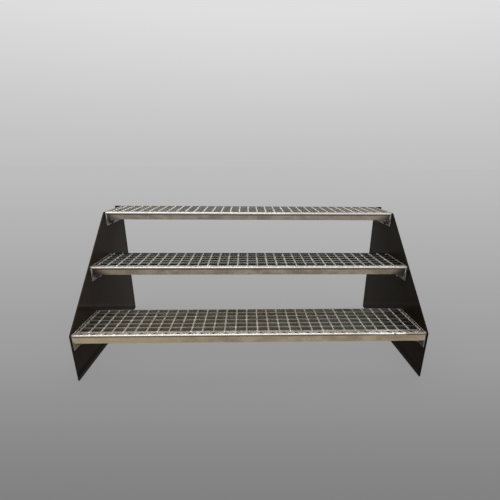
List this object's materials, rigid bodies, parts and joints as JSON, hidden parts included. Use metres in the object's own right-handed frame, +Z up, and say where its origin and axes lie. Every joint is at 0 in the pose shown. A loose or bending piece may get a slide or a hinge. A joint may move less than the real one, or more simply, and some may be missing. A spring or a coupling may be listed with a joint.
{
  "type": "open steel step stair",
  "caption": "Free-standing short open stair: grating treads with perforated nosings bolted between two folded plate stringers.",
  "frame": {"origin": "on the floor, under the middle of the flight's width and depth", "axes": "+X across the flight along the treads, +Y the way the flight climbs, +Z up"},
  "size_m": [1.27, 0.73, 0.51],
  "materials": {
    "stringer_coating": "glossy black powder coat",
    "grating_zinc": "hot dip galvanised, dull",
    "edge_zinc": "hot dip galvanised, warm grey",
    "nosing_zinc": "hot dip galvanised, bright"
  },
  "bodies": {
    "root": {"stringer_left": "stringer_coating", "stringer_right": "stringer_coating", "tread_1_nosing": "nosing_zinc", "tread_1_front_bar": "edge_zinc", "tread_1_grating": "grating_zinc", "tread_1_back_bar": "edge_zinc", "tread_1_end_plate_left": "edge_zinc", "tread_1_end_plate_right": "edge_zinc", "tread_2_nosing": "nosing_zinc", "tread_2_front_bar": "edge_zinc", "tread_2_grating": "grating_zinc", "tread_2_back_bar": "edge_zinc", "tread_2_end_plate_left": "edge_zinc", "tread_2_end_plate_right": "edge_zinc", "tread_3_nosing": "nosing_zinc", "tread_3_front_bar": "edge_zinc", "tread_3_grating": "grating_zinc", "tread_3_back_bar": "edge_zinc", "tread_3_end_plate_left": "edge_zinc", "tread_3_end_plate_right": "edge_zinc"}
  },
  "joints": []
}
